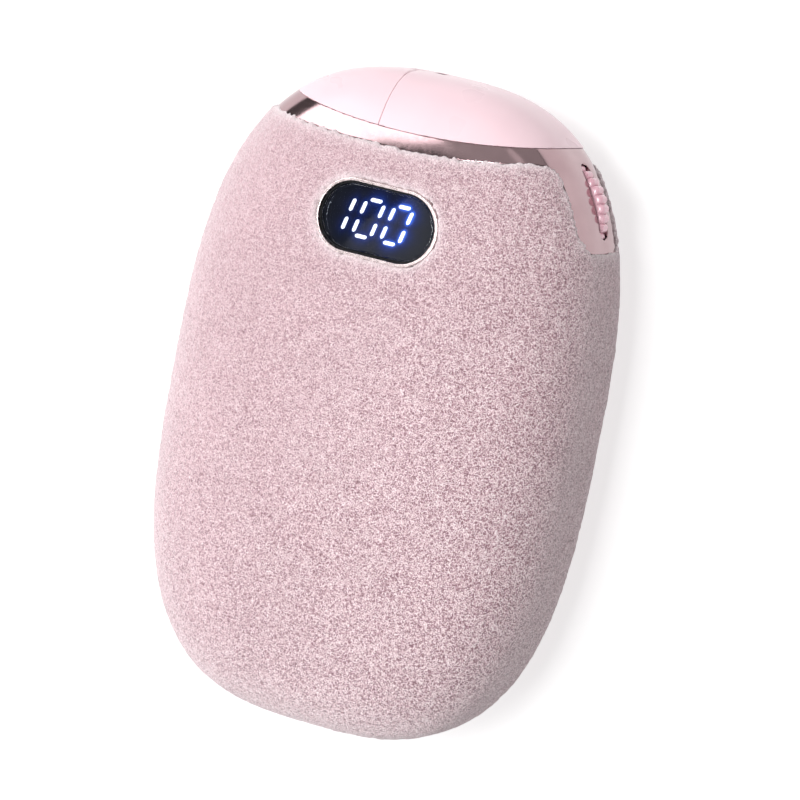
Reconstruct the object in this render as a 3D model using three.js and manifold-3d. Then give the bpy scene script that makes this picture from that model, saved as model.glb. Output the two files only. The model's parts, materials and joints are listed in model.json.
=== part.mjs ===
// Rechargeable hand warmer: velvet covered body, chromed collar with a thumbwheel,
// display window, and a dome cap whose left part swings open over the charging port.
// Millimetres. +X right, +Y towards the cap, +Z out of the display. The model lies on its back.
import * as THREE from 'three';
import { mergeVertices } from 'three/addons/utils/BufferGeometryUtils.js';
import Module from 'manifold-3d';

const wasm = await Module();
wasm.setup();

// Outer form: full sizes and the powers of its rounded outline
const bodyLength = 105;
const bodyWidth = 69.2;
const bodyThickness = 33;
const widestAbove = 1.5;
const capPower = 2.77;
const footPower = 3.08;
const sectionPower = 3.42;
const backFlat = 0.5;
const sidesAround = 36;
const ringsUp = 14;
const halfLength = bodyLength / 2;
const halfWidth = bodyWidth / 2;
const halfThickness = bodyThickness / 2;
const restZ = halfThickness - backFlat;

// Gaps, overruns and steps
const gap = 0.3;
const runGap = 0.1;
const overrun = 3;
const far = 1.5 * bodyLength;
const roundSides = 12;
const arcSteps = 4;
const weld = 1e-5;
const outlineSteps = 24;

// Walls, and the insets that follow from them
const coverWall = 1.2;
const shellWall = 1.6;
const capWall = 1.7;
const capInset = 0.15;
const ringInset = 0.25;
const spreaderWall = 0.8;
const heaterWall = 0.3;
const spigotWall = 1.4;
const shellOut = coverWall + gap;
const shellIn = shellOut + shellWall;
const plateOut = shellIn + gap;
const plateIn = plateOut + spreaderWall;
const heaterOut = plateIn + gap;
const heaterIn = heaterOut + heaterWall;
const spigotIn = plateOut + spigotWall;

// Collar band, whose edges rise towards the sides, and the depths of what hangs from its top edge
const capHeight = 8.9;
const bandHeight = 2.9;
const ringTopRise = 2.22;
const ringLowRiseRight = 2.54;
const ringLowRiseLeft = 1.16;
const riseIn = 11.6;
const spigotDrop = 5;
const ledgeDrop = 2.5;
const riseSpan = halfWidth - riseIn;
const ringTopY = halfLength - capHeight;
const ringLowY = ringTopY - bandHeight;
const spigotLowY = ringTopY - spigotDrop;
const ledgeLowY = ringTopY - ledgeDrop;

// Side panel, round which the collar comes down beside the thumbwheel
const panelFrontMargin = 8.7;
const panelRearMargin = 10.1;
const panelDrop = 12.8;
const panelFrontCorner = 4.4;
const panelRearCorner = 1.8;
const panelFillet = 2.6;
const panelFrontZ = halfThickness - panelFrontMargin;
const panelRearZ = panelRearMargin - halfThickness;
const panelLowY = ringTopY - panelDrop;

// Cap, its seam and the strap hole
const seamX = -4.4;
const seamGap = 0.3;
const capEndWall = 1.4;
const strapX = -1.8;
const strapWidth = 1.7;
const strapHoleLength = 2.1;
const strapBar = 1.7;
const strapFrontZ = -0.1;
const strapDepth = 3.4;
const strapBarDepth = 1.5;
const strapBlockWall = 1.3;
const capBossRadius = 2;
const capBossZ = -3.5;
const capBossFarX = 13;
const capBossNearX = 2.2;
const seamLeft = seamX - seamGap / 2;
const seamRight = seamX + seamGap / 2;
const capBosses = [[capBossFarX, capBossZ], [capBossNearX, capBossZ]];

// Deck under the cap
const deckDrop = 1.4;
const deckThick = 1.2;
const deckLowY = ringTopY - deckDrop;
const deckTopY = deckLowY + deckThick;

// Port cover hinge, under the seam
const knuckleRadius = 0.9;
const hingePinRadius = 0.4;
const earHalf = 1.1;
const knuckleLength = 1.5;
const pinReach = earHalf + gap + knuckleLength;

// Display
const displayX = -0.35;
const displayDrop = 14.4;
const bezelLength = 21;
const bezelHeight = 12;
const bezelWall = 0.7;
const bezelProud = 0.15;
const bezelLedge = 0.9;
const bezelFlange = 1.5;
const windowSink = 0.45;
const windowThick = 1.4;
const moduleWidth = 17;
const moduleHeight = 8.8;
const gasketWall = 1.2;
const gasketThick = 0.7;
const displayY = ringTopY - displayDrop;

// Main board, its posts, and what is soldered on it: width, length and height of each
const boardLeftMargin = 16.2;
const boardRightMargin = 23.8;
const boardLength = 22.1;
const boardTopZ = 3.2;
const boardThick = 1.2;
const boardCorner = 1.5;
const postRadius = 1.7;
const postLeftIn = 2.8;
const postLeftUp = 3.2;
const postRightIn = 1.9;
const postRightUp = 1.4;
const postRightDown = 3.5;
const controllerSize = [6, 6, 0.9];
const chargerSize = [4, 4, 0.9];
const coilSize = [6, 6, 3];
const powerSize = [5, 3, 1.2];
const controllerShares = [0.6, 0.56];
const chargerShares = [0.6, 0.22];
const coilShares = [0.36, 0.24];
const powerShares = [0.5, 0.85];
const boardHighY = deckLowY - gap;
const boardLowY = boardHighY - boardLength;
const boardLowX = boardLeftMargin - halfWidth;
const boardHighX = halfWidth - boardRightMargin;
const boardLowZ = boardTopZ - boardThick;
const postsAt = [[boardLowX + postLeftIn, boardLowY + postLeftUp],
  [boardHighX - postRightIn, boardLowY + postRightUp],
  [boardHighX - postRightIn, boardHighY - postRightDown]];

// Charging socket
const portInX = 6.4;
const portWidth = 8.94;
const portHeight = 3.2;
const portLength = 7.2;
const portWall = 0.3;
const tongueWidth = 6.7;
const tongueThick = 0.7;
const portBack = 1.2;
const portMouthIn = 0.8;
const portX = boardLowX + portInX;
const portMidZ = boardLowZ - gap - portHeight / 2;
const portLowY = deckTopY - portLength;

// Battery, its tray and pads
const cellSideMargin = 11.6;
const cellFootMargin = 17.8;
const cellFaceMargin = 11.5;
const cellBoardRoom = 2.5;
const cellSetBack = 0.4;
const cellRound = 2.2;
const trayWall = 1.2;
const lugWidth = 5.4;
const lugThick = 2;
const padSideMargin = 19.6;
const padLowIn = 1.7;
const padHighIn = 7.3;
const padCorner = 3;
const cellBoardIn = 11.3;
const cellBoardFaceIn = 1.8;
const cellBoardThick = 0.9;
const cellHalfX = halfWidth - cellSideMargin;
const cellHighY = boardLowY - cellBoardRoom;
const cellLowY = cellFootMargin - halfLength;
const cellThick = 2 * (halfThickness - cellFaceMargin);
const cellLowZ = -cellThick / 2 - cellSetBack;
const cellHighZ = cellLowZ + cellThick;
const trayFloorZ = cellLowZ - gap;
const trayTopZ = (cellLowZ + cellHighZ) / 2;
const padHalfX = halfWidth - padSideMargin;
const padLowY = cellLowY + padLowIn;
const padHighY = cellHighY - padHighIn;

// Heated area
const plateSideMargin = 11.1;
const plateFootMargin = 12.5;
const plateOver = 0.7;
const plateCorner = 14;
const heaterMargin = 1.6;
const sensorWidth = 2.6;
const sensorLength = 1.6;
const sensorHeight = 1.1;
const sensorOut = 4;
const plateHalfX = halfWidth - plateSideMargin;
const plateLowY = plateFootMargin - halfLength;
const plateHighY = cellHighY + plateOver;
const sensorX = padHalfX + sensorOut;
const sensorY = (padLowY + padHighY) / 2;

// Screws
const screwRadius = 0.85;
const screwHoleRadius = 1.15;
const pilotRadius = 1.05;
const screwHeadRadius = 1.8;
const screwHeadHeight = 1.2;
const caseScrewSideMargin = 7.2;
const caseScrewHighIn = 8.3;
const caseScrewLowIn = 11.7;
const caseBossRadius = 2.6;
const seatFaceMargin = 10.5;
const biteFaceMargin = 11.5;
const smallScrewRadius = 0.6;
const smallPilotRadius = 0.8;
const smallHeadRadius = 1.5;
const smallHeadHeight = 0.9;
const smallScrewBite = 3.4;
const seatZ = seatFaceMargin - halfThickness;
const caseScrewBite = halfThickness - biteFaceMargin;
const caseScrews = [];
for (const side of [-1, 1]) {
  const x = side * (halfWidth - caseScrewSideMargin);
  caseScrews.push([x, cellLowY + caseScrewLowIn], [x, cellHighY - caseScrewHighIn]);
}

// Thumbwheel and what carries it
const wheelRadius = 8.8;
const wheelThick = 2.6;
const wheelProud = 1.9;
const wheelZ = -1.2;
const wheelRibs = 34;
const ribDepth = 0.45;
const ribStepsPerRib = 4;
const wheelEdge = 0.55;
const slotRise = 0.1;
const slotSpan = 10.6;
const slotWidth = 3.1;
const pocketGap = 0.4;
const axleRadius = 1.2;
const axleHead = 0.5;
const encoderRadius = 3;
const encoderThick = 1.4;
const carriageThick = 1.2;
const carriageHalf = 3.2;
const carriageFront = 1.8;
const tabGap = 0.6;
const carriageTabThick = 1;
const carriageTabTop = 0.4;
const housingThick = 1.2;
const housingHalf = 5;
const housingFront = -1.4;
const housingOver = 0.5;
const railRise = 1.5;
const pressTravel = 0.5;
const plungerRadius = 0.8;
const plungerReach = 1.1;
const plungerIn = 1.1;
const switchLength = 3.2;
const switchHalf = 2;
const switchTop = 0.6;
const standRadius = 2.2;
const stakeRadius = 0.8;
const stakeHoleRadius = 1.1;
const nearStandAt = 6;
const farStandIn = 3;
const slotTopY = ringTopY + slotRise;
const slotLowY = slotTopY - slotSpan;
const encoderLowZ = -wheelThick / 2 - gap - encoderThick;
const carriageBack = wheelRadius + tabGap + carriageTabThick;
const carriageHighZ = encoderLowZ - gap;
const carriageLowZ = carriageHighZ - carriageThick;
const plungerZ = (carriageHighZ + carriageTabTop) / 2;
const switchFace = -carriageBack - plungerReach;
const housingBack = switchLength - switchFace + housingOver;
const housingHighZ = carriageLowZ - gap;
const housingLowZ = housingHighZ - housingThick;
const standTopZ = housingLowZ - gap;
const standPlaces = [nearStandAt, housingBack - farStandIn];

// Leads
const leadRadius = 0.55;
const leadSides = 6;
const leadSteps = 6;
const leadReach = 1.6;
const leadStraight = 0.6;
const leadShare = 0.8;
const leadPitch = 2.4;
const leadDrop = 1.6;
const leadX = boardLowX + leadShare * (boardHighX - boardLowX);

// Half width and half height of the outer form, drawn in by an inset
function halfWidthAt(y, z, inset) {
  const power = y >= widestAbove ? capPower : footPower;
  const reach = (y >= widestAbove ? halfLength - widestAbove : halfLength + widestAbove) - inset;
  const level = 1 - Math.abs(z / (halfThickness - inset)) ** sectionPower;
  const room = Math.max(level, 0) ** (power / sectionPower) - Math.abs((y - widestAbove) / reach) ** power;
  return (halfWidth - inset) * Math.max(room, 0) ** (1 / power);
}

function heightAt(x, y, inset) {
  const power = y >= widestAbove ? capPower : footPower;
  const reach = (y >= widestAbove ? halfLength - widestAbove : halfLength + widestAbove) - inset;
  const sum = Math.abs(x / (halfWidth - inset)) ** power + Math.abs((y - widestAbove) / reach) ** power;
  const room = Math.max(1 - sum ** (sectionPower / power), 0);
  return (halfThickness - inset) * room ** (1 / sectionPower);
}

function ringTop(x) {
  return ringTopY + ringTopRise * (x / riseSpan) ** 2;
}

function ringLow(x) {
  const rise = x > 0 ? ringLowRiseRight : ringLowRiseLeft;
  return ringLowY + rise * (x / riseSpan) ** 2;
}

// Mesh and boolean helpers
function solid(geometry) {
  const bare = geometry.clone();
  bare.deleteAttribute('normal');
  bare.deleteAttribute('uv');
  const merged = mergeVertices(bare, weld);
  return new wasm.Manifold(new wasm.Mesh({
    numProp: 3,
    vertProperties: new Float32Array(merged.attributes.position.array),
    triVerts: new Uint32Array(merged.index.array),
  }));
}

function geometryOf(shape) {
  const mesh = shape.getMesh();
  const geometry = new THREE.BufferGeometry();
  geometry.setAttribute('position', new THREE.BufferAttribute(new Float32Array(mesh.vertProperties), 3));
  geometry.setIndex(new THREE.BufferAttribute(new Uint32Array(mesh.triVerts), 1));
  return geometry;
}

function join(...shapes) {
  return shapes.reduce((whole, shape) => whole.add(shape));
}

function cut(shape, ...tools) {
  return tools.reduce((left, tool) => left.subtract(tool), shape);
}

// Closed rounded body, drawn in by an inset
function envelope(inset) {
  const points = [];
  const faces = [];
  const power = (value, exponent) => Math.sign(value) * Math.abs(value) ** exponent;
  for (let ring = 1; ring < ringsUp; ring += 1) {
    const up = Math.PI * (ring / ringsUp - 1 / 2);
    const spread = Math.cos(up) ** (2 / sectionPower);
    const z = (halfThickness - inset) * power(Math.sin(up), 2 / sectionPower);
    for (let side = 0; side < sidesAround; side += 1) {
      const turn = (2 * Math.PI * side) / sidesAround;
      const sine = Math.abs(Math.sin(turn)) < weld ? 0 : Math.sin(turn);
      const cosine = Math.abs(Math.cos(turn)) < weld ? 0 : Math.cos(turn);
      const outline = sine >= 0 ? capPower : footPower;
      const reach = (sine >= 0 ? halfLength - widestAbove : halfLength + widestAbove) - inset;
      const x = (halfWidth - inset) * spread * power(cosine, 2 / outline);
      const y = widestAbove + reach * spread * power(sine, 2 / outline);
      points.push(x, y, z);
    }
  }
  const low = points.length / 3;
  points.push(0, widestAbove, inset - halfThickness, 0, widestAbove, halfThickness - inset);
  for (let side = 0; side < sidesAround; side += 1) {
    const next = (side + 1) % sidesAround;
    for (let ring = 0; ring < ringsUp - 2; ring += 1) {
      const here = ring * sidesAround;
      const above = here + sidesAround;
      faces.push(here + side, here + next, above + next, here + side, above + next, above + side);
    }
    const last = (ringsUp - 2) * sidesAround;
    faces.push(low, next, side, low + 1, last + side, last + next);
  }
  const geometry = new THREE.BufferGeometry();
  geometry.setAttribute('position', new THREE.Float32BufferAttribute(points, 3));
  geometry.setIndex(faces);
  return solid(geometry);
}

function skin(outInset, inInset) {
  return envelope(outInset).subtract(envelope(inInset));
}

// Prisms: an outline in XY raised along Z, in ZY along X, or in XZ along Y
function outlineOf(points) {
  return new THREE.Shape(points.map(([x, y]) => new THREE.Vector2(x, y)));
}

function prism(shape, depth) {
  return new THREE.ExtrudeGeometry(shape, { depth, bevelEnabled: false, curveSegments: arcSteps });
}

function raise(shape, lowZ, highZ) {
  const geometry = prism(shape, highZ - lowZ);
  geometry.translate(0, 0, lowZ);
  return solid(geometry);
}

function raiseAlongX(shape, lowX, highX) {
  const geometry = prism(shape, highX - lowX);
  geometry.applyMatrix4(new THREE.Matrix4().makeBasis(
    new THREE.Vector3(0, 1, 0), new THREE.Vector3(0, 0, 1), new THREE.Vector3(1, 0, 0)));
  geometry.translate(lowX, 0, 0);
  return solid(geometry);
}

function raiseAlongY(shape, lowY, highY) {
  const geometry = prism(shape, highY - lowY);
  geometry.rotateX(Math.PI / 2);
  geometry.translate(0, highY, 0);
  return solid(geometry);
}

function box(lowX, highX, lowY, highY, lowZ, highZ) {
  const geometry = new THREE.BoxGeometry(highX - lowX, highY - lowY, highZ - lowZ);
  geometry.translate((lowX + highX) / 2, (lowY + highY) / 2, (lowZ + highZ) / 2);
  return solid(geometry);
}

function pegAlongZ(x, y, radius, lowZ, highZ, sides = roundSides) {
  const geometry = new THREE.CylinderGeometry(radius, radius, highZ - lowZ, sides);
  geometry.rotateX(Math.PI / 2);
  geometry.translate(x, y, (lowZ + highZ) / 2);
  return solid(geometry);
}

function pegAlongY(x, z, radius, lowY, highY) {
  const geometry = new THREE.CylinderGeometry(radius, radius, highY - lowY, roundSides);
  geometry.translate(x, (lowY + highY) / 2, z);
  return solid(geometry);
}

function pegAlongX(radius, lowX, highX, z) {
  const geometry = new THREE.CylinderGeometry(radius, radius, highX - lowX, roundSides);
  geometry.rotateZ(Math.PI / 2);
  geometry.translate((lowX + highX) / 2, 0, z);
  return solid(geometry);
}

function roundedRectangle(lowX, highX, lowY, highY, corner) {
  const shape = new THREE.Shape();
  shape.moveTo(lowX + corner, lowY);
  shape.lineTo(highX - corner, lowY);
  shape.absarc(highX - corner, lowY + corner, corner, -Math.PI / 2, 0);
  shape.lineTo(highX, highY - corner);
  shape.absarc(highX - corner, highY - corner, corner, 0, Math.PI / 2);
  shape.lineTo(lowX + corner, highY);
  shape.absarc(lowX + corner, highY - corner, corner, Math.PI / 2, Math.PI);
  shape.lineTo(lowX, lowY + corner);
  shape.absarc(lowX + corner, lowY + corner, corner, Math.PI, Math.PI * 1.5);
  return shape;
}

function stadium(x, y, length, height, grow) {
  const radius = height / 2 + grow;
  const reach = length / 2 + grow;
  return roundedRectangle(x - reach, x + reach, y - radius, y + radius, radius);
}

// Regions that split the outer form into cover, collar and cap
function curvePoints(curve, shift) {
  const points = [];
  for (let step = 0; step <= outlineSteps; step += 1) {
    const x = halfWidth * ((2 * step) / outlineSteps - 1);
    points.push([x, curve(x) + shift]);
  }
  return points;
}

// Everything above a curve, as far as the form goes
function above(curve, shift) {
  const points = curvePoints(curve, shift);
  return raise(outlineOf([[-far, points[0][1]], ...points, [far, points[outlineSteps][1]],
    [far, far], [-far, far]]), -far, far);
}

// The side panel's outline seen from the side, grown by a clearance
function panelRegion(grow) {
  const front = panelFrontZ + grow;
  const rear = panelRearZ - grow;
  const low = panelLowY - grow;
  const frontCorner = panelFrontCorner + grow;
  const rearCorner = panelRearCorner + grow;
  const fillet = panelFillet - grow;
  const high = ringLow(halfWidthAt(ringLowY, panelFrontZ, 0)) - grow;
  const shape = new THREE.Shape();
  shape.moveTo(low, rear + rearCorner);
  shape.absarc(low + rearCorner, rear + rearCorner, rearCorner, Math.PI, Math.PI * 1.5);
  shape.absarc(high - fillet, rear - fillet, fillet, Math.PI / 2, 0, true);
  shape.lineTo(far, rear - fillet);
  shape.lineTo(far, front + fillet);
  shape.absarc(high - fillet, front + fillet, fillet, 0, -Math.PI / 2, true);
  shape.absarc(low + frontCorner, front - frontCorner, frontCorner, Math.PI / 2, Math.PI);
  return raiseAlongX(shape, panelFrontZ, far);
}

// Thumbwheel place: its rim stands proud of the slot, whose ends lie on the collar
const slotTop = new THREE.Vector2(halfWidthAt(slotTopY, wheelZ, ringInset), slotTopY);
const slotLow = new THREE.Vector2(halfWidthAt(slotLowY, wheelZ, ringInset), slotLowY);
const along = slotLow.clone().sub(slotTop).normalize();
const outward = new THREE.Vector2(-along.y, along.x);
const slotLength = slotTop.distanceTo(slotLow);
const slotMiddle = slotTop.clone().add(slotLow).divideScalar(2);
const wheelAt = slotMiddle.addScaledVector(outward, wheelProud - wheelRadius);
const wheelAngle = Math.atan2(outward.y, outward.x);

// A shape drawn with X pointing out through the slot, set at the wheel
function atWheel(shape) {
  const spot = new THREE.Matrix4().makeRotationZ(wheelAngle).setPosition(wheelAt.x, wheelAt.y, wheelZ);
  return shape.transform(spot.elements.slice());
}

// Port cover hinge place: just inside the corner between the seam and the outside of the cap
function topAt(x, inset) {
  const share = Math.abs(x / (halfWidth - inset)) ** capPower;
  return widestAbove + (halfLength - widestAbove - inset) * (1 - share) ** (1 / capPower);
}
const hingeX = seamLeft - knuckleRadius;
const hingeY = topAt(hingeX, capInset) - knuckleRadius;

const collarUp = above(ringLow, 0);
const capUp = above(ringTop, gap);
const coverAway = join(above(ringLow, -gap), panelRegion(gap));
const windowWay = raise(displayOutline(gap), 0, far);
const pocketRadius = wheelRadius + pocketGap;
const pocketLow = wheelZ - slotWidth / 2;
const pocketHigh = wheelZ + slotWidth / 2;
const wheelPocket = pegAlongZ(wheelAt.x, wheelAt.y, pocketRadius, pocketLow, pocketHigh, sidesAround);

// Velvet cover, a bag open at the collar
function velvetCover() {
  const bag = cut(skin(0, coverWall), coverAway, windowWay);
  return cut(bag, box(-far, far, -far, far, -far, -restZ));
}

// Case halves with the screw bosses and the stands for board and wheel
function insideForm(shape) {
  return shape.intersect(envelope(shellOut + shellWall / 2));
}

function frontShell() {
  let shell = cut(skin(shellOut, shellIn), coverAway, windowWay);
  for (const [x, y] of caseScrews) {
    shell = shell.add(insideForm(pegAlongZ(x, y, caseBossRadius, lugThick / 2 + gap, far)));
    shell = cut(shell, pegAlongZ(x, y, pilotRadius, 0, caseScrewBite + gap));
  }
  for (const [x, y] of postsAt) {
    shell = shell.add(insideForm(pegAlongZ(x, y, postRadius, boardTopZ + gap, far)));
    shell = cut(shell, pegAlongZ(x, y, smallPilotRadius, 0, boardTopZ + smallScrewBite + gap));
  }
  shell = cut(shell, box(-far, far, -far, far, -far, gap / 2));
  return cut(shell, wheelPocket);
}

function rearShell() {
  let shell = cut(skin(shellOut, shellIn), coverAway);
  for (const [x, y] of caseScrews) {
    shell = shell.add(insideForm(pegAlongZ(x, y, caseBossRadius, -far, -lugThick / 2 - gap)));
    shell = cut(shell, pegAlongZ(x, y, screwHoleRadius, -far, 0));
    shell = cut(shell, pegAlongZ(x, y, screwHeadRadius + gap, -far, seatZ));
  }
  for (const place of standPlaces) {
    const x = wheelAt.x - outward.x * place;
    const y = wheelAt.y - outward.y * place;
    const stand = insideForm(pegAlongZ(x, y, standRadius, -far, wheelZ + standTopZ));
    shell = join(shell, stand, pegAlongZ(x, y, stakeRadius, wheelZ + standTopZ - gap, wheelZ + housingHighZ));
  }
  shell = cut(shell, box(-far, far, -far, far, -gap / 2, far));
  return cut(shell, wheelPocket);
}

// Chromed collar with the side panel and the spigot inside the case mouth
function trimRing() {
  const region = join(collarUp, panelRegion(0));
  const band = cut(skin(ringInset, shellIn).intersect(region), above(ringTop, 0));
  const spigot = skin(plateOut, spigotIn).intersect(box(-far, far, spigotLowY, deckLowY - gap, -far, far));
  const postWays = postsAt.map(([x, y]) => pegAlongZ(x, y, postRadius + gap, 0, far));
  const ledgeRoom = above(ringLow, gap).intersect(box(-far, far, ledgeLowY, deckLowY - gap, -far, far));
  const ledge = skin(shellIn - gap, plateOut + gap).intersect(ledgeRoom);
  const ring = join(band, cut(spigot, ...postWays), ledge);
  const slot = raiseAlongX(stadium(0, 0, slotLength, slotWidth, 0), 0, far);
  return cut(ring, atWheel(slot), wheelPocket);
}

function hingePeg(radius, lowZ, highZ) {
  return pegAlongZ(hingeX, hingeY, radius, lowZ, highZ);
}

// Room for the pin, blind at both ends so that it stays under the cap's outer face
function hingeBore() {
  return hingePeg(hingePinRadius + runGap, -pinReach - gap, pinReach + gap);
}

// Fixed part of the cap with the end wall and hinge ear at the seam and the strap hole round its bar
function capMain() {
  const region = capUp.intersect(box(seamRight, far, 0, far, -far, far));
  const dome = skin(capInset, capInset + capWall);
  const full = envelope(capInset);
  const strapBack = strapFrontZ - 2 * strapHoleLength - strapBar;
  const top = halfLength - capInset;
  const strapLowX = strapX - strapWidth / 2;
  const strapHighX = strapX + strapWidth / 2;
  const floorY = top - strapDepth;
  const block = full.intersect(box(seamRight, strapHighX + strapBlockWall, floorY - strapBlockWall, far,
    strapBack - strapBlockWall, strapFrontZ + strapBlockWall));
  const endWall = full.intersect(box(seamRight, seamRight + capEndWall, 0, far, -far, far));
  let cap = join(dome, block, endWall);
  for (const [x, z] of capBosses) {
    cap = cap.add(full.intersect(pegAlongY(x, z, capBossRadius, deckTopY + gap, far)));
  }
  cap = cap.intersect(region);
  for (const [x, z] of capBosses) {
    cap = cut(cap, pegAlongY(x, z, smallPilotRadius, 0, deckTopY + smallScrewBite + gap));
  }
  const channel = box(strapLowX, strapHighX, floorY, far, strapBack, strapFrontZ);
  const barLowZ = strapFrontZ - strapHoleLength - strapBar;
  const bar = box(-far, far, top - strapBarDepth, far, barLowZ, barLowZ + strapBar);
  const earWeb = box(hingeX, seamRight + gap, hingeY - knuckleRadius, far, -earHalf, earHalf);
  const ear = join(hingePeg(knuckleRadius, -earHalf, earHalf), earWeb).intersect(full);
  return cut(cap.add(ear), cut(channel, bar), hingeBore());
}

// Swinging part of the cap with its two hinge knuckles
function portCover() {
  const region = capUp.intersect(box(-far, seamLeft, 0, far, -far, far));
  const full = envelope(capInset);
  let cover = skin(capInset, capInset + capWall).intersect(region);
  const heel = box(hingeX, far, hingeY, far, -far, far);
  cover = cut(cover, cut(heel, hingePeg(knuckleRadius, -far, far)));
  const innerZ = earHalf + gap;
  const knuckles = join(hingePeg(knuckleRadius, -pinReach, -innerZ), hingePeg(knuckleRadius, innerZ, pinReach));
  cover = cover.add(knuckles.intersect(full));
  const earWay = box(hingeX, far, hingeY - knuckleRadius - gap, far, -innerZ, innerZ);
  const earRoom = join(hingePeg(knuckleRadius + gap, -innerZ, innerZ), earWay);
  return cut(cover, earRoom, hingeBore());
}

function hingePin() {
  return hingePeg(hingePinRadius, -pinReach, pinReach);
}

// Socket and the deck that it comes up through
function portRoom(grow, lowY, highY) {
  return raiseAlongY(stadium(portX, portMidZ, portWidth, portHeight, grow), lowY, highY);
}

function deck() {
  const plate = envelope(plateOut).intersect(box(-far, far, deckLowY, deckTopY, -far, far));
  const holes = capBosses.map(([x, z]) => pegAlongY(x, z, smallScrewRadius + gap, 0, far));
  return cut(plate, portRoom(gap, 0, far), wheelPocket, ...holes);
}

function portShell() {
  return cut(portRoom(0, portLowY, deckTopY), portRoom(-portWall, portLowY + portBack, far));
}

function portTongue() {
  return box(portX - tongueWidth / 2, portX + tongueWidth / 2, portLowY + portBack + gap,
    deckTopY - portMouthIn, portMidZ - tongueThick / 2, portMidZ + tongueThick / 2);
}

function displayOutline(grow) {
  return stadium(displayX, displayY, bezelLength, bezelHeight, grow);
}

// Display stack: bezel through the case, window on its ledge, gasket and lit module below
function displayRing(grow, lowInset, highInset) {
  return skin(highInset, lowInset).intersect(raise(displayOutline(grow), 0, far));
}

function displayBezel() {
  const tube = displayRing(0, plateIn, -bezelProud);
  const flange = displayRing(bezelFlange, plateIn, plateOut);
  const throat = raise(displayOutline(-bezelWall), 0, far);
  const ledgeWay = raise(displayOutline(-bezelWall - bezelLedge), 0, far);
  const upper = throat.intersect(skin(-overrun, windowSink + windowThick + gap));
  return cut(tube.add(flange), upper, ledgeWay);
}

function displayWindow() {
  return displayRing(-bezelWall - gap, windowSink + windowThick, windowSink);
}

const gasketOut = plateIn + gap;
const moduleHighZ = heightAt(moduleWidth / 2, displayY + moduleHeight / 2, gasketOut + gasketThick + gap);

function displayGasket() {
  const ring = displayRing(-bezelWall, gasketOut + gasketThick, gasketOut);
  return cut(ring, raise(displayOutline(-bezelWall - gasketWall), 0, far));
}

function displayModule() {
  return box(displayX - moduleWidth / 2, displayX + moduleWidth / 2, displayY - moduleHeight / 2,
    displayY + moduleHeight / 2, boardTopZ + gap, moduleHighZ);
}

// Main board and what is soldered on it
function mainBoard() {
  const plate = raise(roundedRectangle(boardLowX, boardHighX, boardLowY, boardHighY, boardCorner),
    boardLowZ, boardTopZ);
  return cut(plate, ...postsAt.map(([x, y]) => pegAlongZ(x, y, smallScrewRadius + gap, 0, far)));
}

function chip([shareX, shareY], [width, length, height], onTop) {
  const x = boardLowX + shareX * (boardHighX - boardLowX);
  const y = boardLowY + shareY * boardLength;
  const low = onTop ? boardTopZ + gap : boardLowZ - gap - height;
  return box(x - width / 2, x + width / 2, y - length / 2, y + length / 2, low, low + height);
}

function boardScrew([x, y]) {
  const seat = boardLowZ - gap;
  const head = pegAlongZ(x, y, smallHeadRadius, seat - smallHeadHeight, seat);
  return head.add(pegAlongZ(x, y, smallScrewRadius, seat - smallHeadHeight / 2, boardTopZ + smallScrewBite));
}

function capScrew([x, z]) {
  const seat = deckLowY - gap;
  const head = pegAlongY(x, z, smallHeadRadius, seat - smallHeadHeight, seat);
  return head.add(pegAlongY(x, z, smallScrewRadius, seat - smallHeadHeight / 2, deckTopY + smallScrewBite));
}

function caseScrew([x, y]) {
  const head = pegAlongZ(x, y, screwHeadRadius, seatZ - gap - screwHeadHeight, seatZ - gap);
  return head.add(pegAlongZ(x, y, screwRadius, seatZ - gap - screwHeadHeight / 2, caseScrewBite));
}

// Battery block: tray with screw lugs, cell, its board, and foam pads to the heaters
function batteryTray() {
  const out = gap + trayWall;
  const half = cellHalfX;
  const floorZ = trayFloorZ;
  const body = box(-half - out, half + out, cellLowY - out, cellHighY + out, floorZ - trayWall, trayTopZ);
  const room = box(-half - gap, half + gap, cellLowY - gap, cellHighY + gap, floorZ, far);
  const wayOut = box(cellBoardIn - half, half - cellBoardIn, cellHighY, cellHighY + 2 * out, floorZ, far);
  let tray = cut(body, room, wayOut);
  for (const [x, y] of caseScrews) {
    const side = Math.sign(x);
    const lowX = Math.min(side * (half + gap), x);
    const highX = Math.max(side * (half + gap), x);
    const web = box(lowX, highX, y - lugWidth / 2, y + lugWidth / 2, -lugThick / 2, lugThick / 2);
    const wallX = side * (half + gap + trayWall / 2);
    const post = box(wallX - trayWall / 2, wallX + trayWall / 2, y - lugWidth / 2, y + lugWidth / 2,
      floorZ, lugThick / 2);
    tray = join(tray, web, post, pegAlongZ(x, y, lugWidth / 2, -lugThick / 2, lugThick / 2));
  }
  for (const [x, y] of caseScrews) {
    tray = cut(tray, pegAlongZ(x, y, screwHoleRadius, -far, far));
  }
  return tray;
}

function batteryCell() {
  const shape = roundedRectangle(-cellHalfX, cellHalfX, cellLowZ, cellHighZ, cellRound);
  return raiseAlongY(shape, cellLowY, cellHighY);
}

function cellBoard() {
  const low = cellHighY + gap;
  const half = cellHalfX - cellBoardIn - gap;
  return box(-half, half, low, low + cellBoardThick, cellLowZ + cellBoardFaceIn, cellHighZ - cellBoardFaceIn);
}

// Height that a flat pad can have under a heater, limited at the pad's far corner
const padRoom = Math.min(...[padLowY, padHighY].map((y) => heightAt(padHalfX, y, heaterIn + gap)));

function foamPad(lowZ, highZ) {
  return raise(roundedRectangle(-padHalfX, padHalfX, padLowY, padHighY, padCorner), lowZ, highZ);
}

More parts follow.
